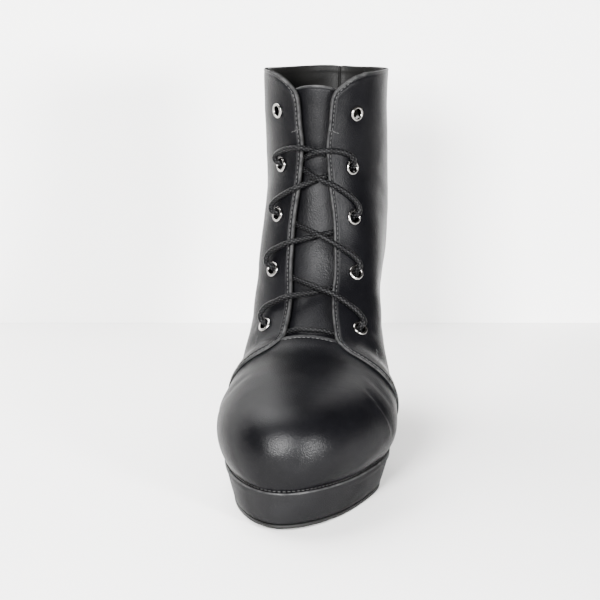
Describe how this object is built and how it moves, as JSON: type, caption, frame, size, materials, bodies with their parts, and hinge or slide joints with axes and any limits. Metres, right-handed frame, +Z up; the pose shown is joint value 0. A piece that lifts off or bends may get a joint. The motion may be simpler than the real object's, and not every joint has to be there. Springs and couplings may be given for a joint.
{
  "type": "lace-up ankle boot",
  "caption": "Right lace-up ankle boot with a platform forefoot, block heel, open derby lacing over a tongue and round metal eyelets.",
  "frame": {"origin": "middle of the bounding box, on the floor under the boot", "axes": "-Y towards the toe, +X towards the inner side of the right foot, +Z up"},
  "size_m": [0.096, 0.2338, 0.212],
  "materials": {
    "black_leather": "smooth semi-matte",
    "lining_leather": "matte lining",
    "black_rubber": "matte",
    "bright_nickel": "bright nickel plate",
    "waxed_lace": "waxed round braid"
  },
  "bodies": {
    "root": {"upper": "black_leather", "tongue": "black_leather", "insole": "lining_leather", "platform": "black_leather", "outsole": "black_rubber", "heel_block": "black_leather", "heel_top_lift": "black_rubber", "lace_bar": "waxed_lace", "eyelet_lateral_1": "bright_nickel", "eyelet_lateral_2": "bright_nickel", "eyelet_lateral_3": "bright_nickel", "eyelet_lateral_4": "bright_nickel", "eyelet_lateral_5": "bright_nickel", "eyelet_medial_1": "bright_nickel", "eyelet_medial_2": "bright_nickel", "eyelet_medial_3": "bright_nickel", "eyelet_medial_4": "bright_nickel", "eyelet_medial_5": "bright_nickel", "lace_cross_1": "waxed_lace", "lace_cross_2": "waxed_lace", "lace_cross_3": "waxed_lace", "lace_cross_4": "waxed_lace"}
  },
  "joints": []
}
